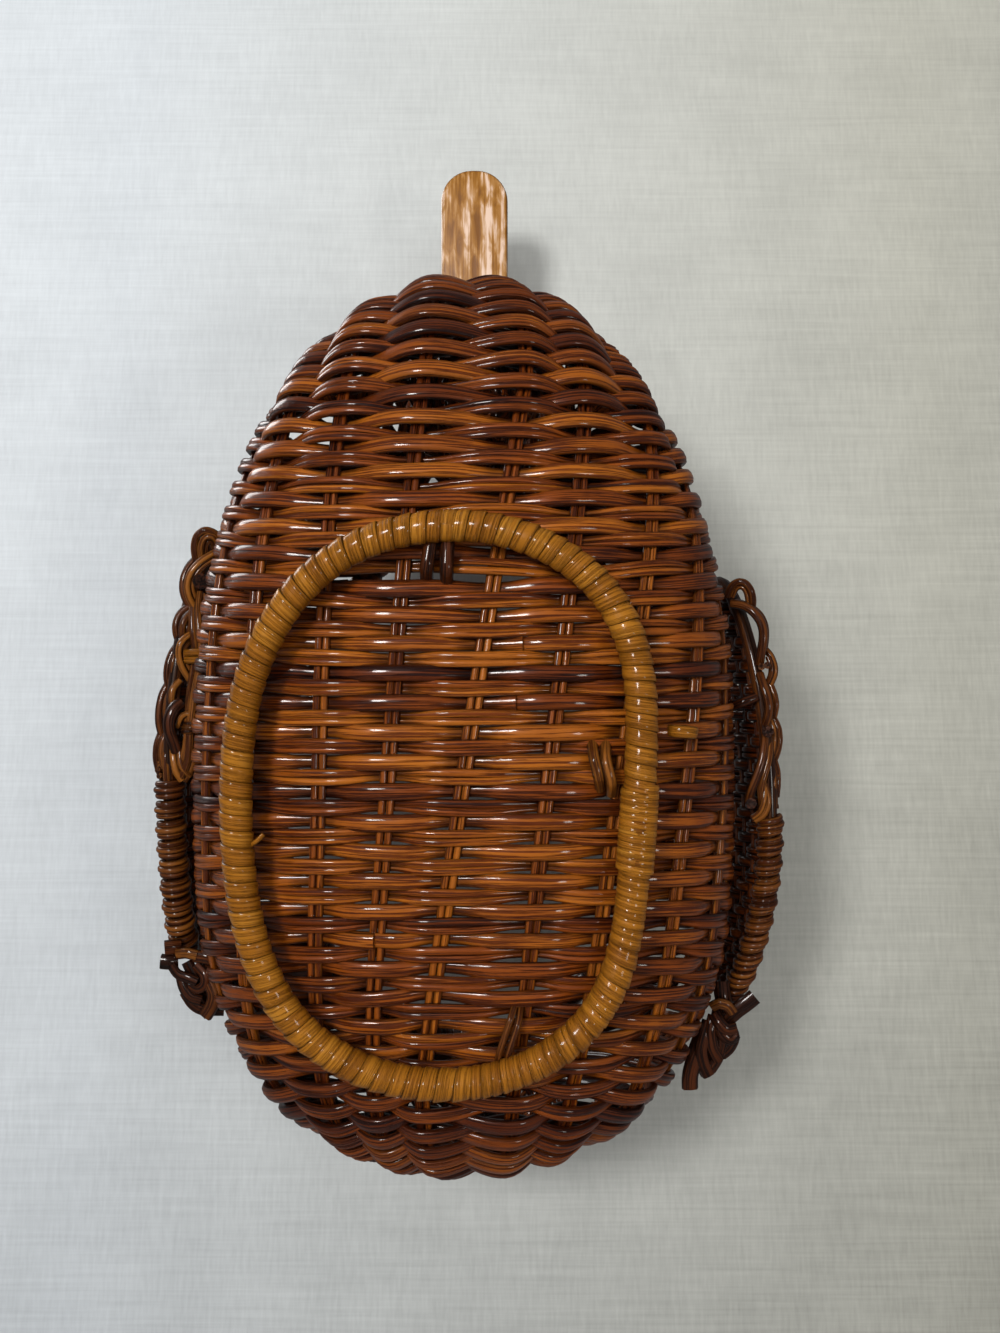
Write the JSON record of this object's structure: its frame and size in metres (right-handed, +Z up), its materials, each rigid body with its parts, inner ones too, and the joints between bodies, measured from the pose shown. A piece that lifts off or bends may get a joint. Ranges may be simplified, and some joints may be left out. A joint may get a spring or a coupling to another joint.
{
  "type": "duck-shaped basket",
  "caption": "Open basket woven of varnished cane in the shape of a duck, with neck, head, wooden bill, wings, raised tail and an oval foot hoop wrapped in cane strip.",
  "frame": {"origin": "on the floor that the foot hoop stands on, under the middle of the whole basket's box", "axes": "+Z up, -Y along the bill, +X to the right-hand side of the underside seen with the bill up"},
  "size_m": [0.1518, 0.2898, 0.131],
  "materials": {
    "brown_cane": "varnished",
    "dark_cane": "varnished",
    "honey_cane": "varnished",
    "bill_wood": "varnished, straight grain",
    "black_bead": "gloss"
  },
  "bodies": {
    "root": {"body_weave": "brown_cane", "neck_weave": "brown_cane", "tail_weave": "brown_cane", "head_weave": "brown_cane", "wing_left_panel": "brown_cane", "wing_right_panel": "brown_cane", "stake_pair_01": "brown_cane", "stake_pair_02": "brown_cane", "stake_pair_03": "brown_cane", "stake_pair_04": "brown_cane", "stake_pair_05": "brown_cane", "stake_pair_06": "brown_cane", "stake_pair_07": "brown_cane", "stake_pair_08": "brown_cane", "stake_pair_09": "brown_cane", "stake_pair_10": "brown_cane", "stake_pair_11": "brown_cane", "stake_pair_12": "brown_cane", "stake_pair_13": "brown_cane", "rim_hoop": "dark_cane", "tail_tip": "dark_cane", "foot_tie_front": "dark_cane", "foot_tie_right": "dark_cane", "foot_tie_rear": "dark_cane", "wing_left_hoop": "dark_cane", "wing_left_wrap": "dark_cane", "wing_left_braid": "dark_cane", "wing_left_tuft": "dark_cane", "wing_right_hoop": "dark_cane", "wing_right_wrap": "dark_cane", "wing_right_braid": "dark_cane", "wing_right_tuft": "dark_cane", "foot_hoop": "honey_cane", "foot_wrap_front": "honey_cane", "foot_wrap_right": "honey_cane", "foot_wrap_left": "honey_cane", "wing_left_tie_front": "honey_cane", "wing_left_tie_rear": "honey_cane", "wing_right_tie_front": "honey_cane", "wing_right_tie_rear": "honey_cane", "bill": "bill_wood", "eye_left": "black_bead", "eye_right": "black_bead"}
  },
  "joints": []
}
